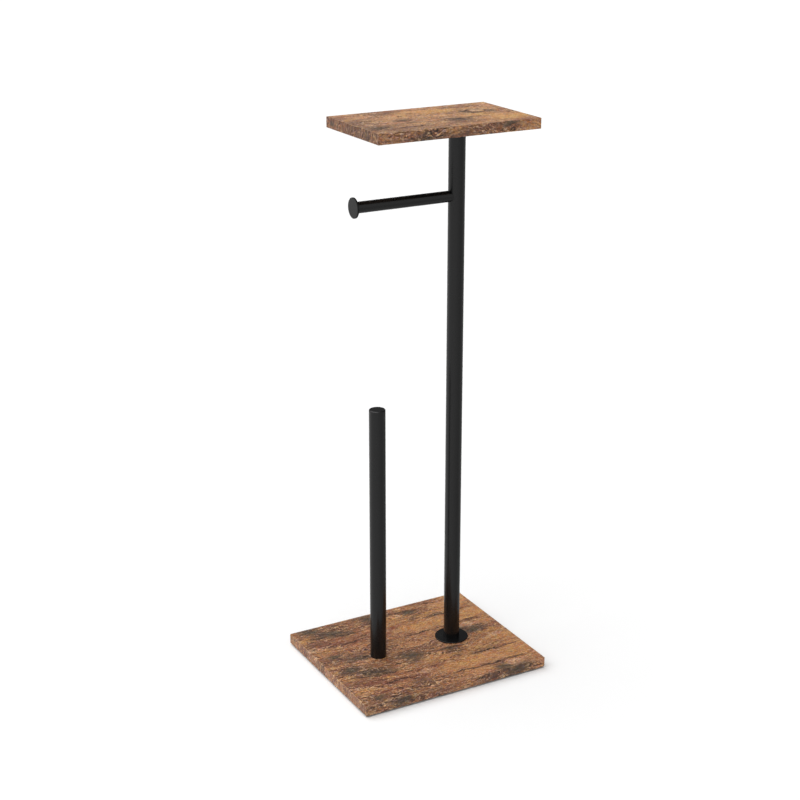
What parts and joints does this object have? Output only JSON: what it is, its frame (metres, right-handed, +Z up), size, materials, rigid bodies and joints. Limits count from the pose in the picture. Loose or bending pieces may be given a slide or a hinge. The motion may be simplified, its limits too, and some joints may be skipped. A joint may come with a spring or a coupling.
{
  "type": "freestanding toilet roll holder",
  "caption": "Freestanding toilet roll holder: wooden base and shelf on a round steel post with a level roll arm, and a short upright post for spare rolls.",
  "frame": {"origin": "on the floor, under the middle of the base", "axes": "+X along the long side of the base, away from the side the roll arm points to; +Y from front to back; +Z up"},
  "size_m": [0.24, 0.2, 0.65],
  "materials": {
    "wood_print_board": "satin rustic brown wood print on chipboard, with darker knots and streaks",
    "wood_print_band": "satin edge band with the same wood print",
    "black_powder_coat": "satin black powder coat",
    "zinc_plate": "bright zinc plate",
    "rubber_pad": "matt black foam rubber"
  },
  "bodies": {
    "root": {"base_board": "wood_print_board", "base_front_band": "wood_print_band", "base_back_band": "wood_print_band", "base_left_band": "wood_print_band", "base_right_band": "wood_print_band", "foot_pads": "rubber_pad", "shelf_board": "wood_print_board", "shelf_front_band": "wood_print_band", "shelf_back_band": "wood_print_band", "shelf_left_band": "wood_print_band", "shelf_right_band": "wood_print_band", "main_post": "black_powder_coat", "main_post_flange": "black_powder_coat", "main_post_plug": "zinc_plate", "shelf_plate": "black_powder_coat", "shelf_screws": "zinc_plate", "roll_arm": "black_powder_coat", "roll_arm_plug": "zinc_plate", "roll_arm_end_disc": "black_powder_coat", "spare_roll_post": "black_powder_coat", "spare_roll_post_cap": "black_powder_coat", "spare_roll_post_plug": "zinc_plate", "base_bolts": "zinc_plate", "base_washers": "zinc_plate"}
  },
  "joints": []
}
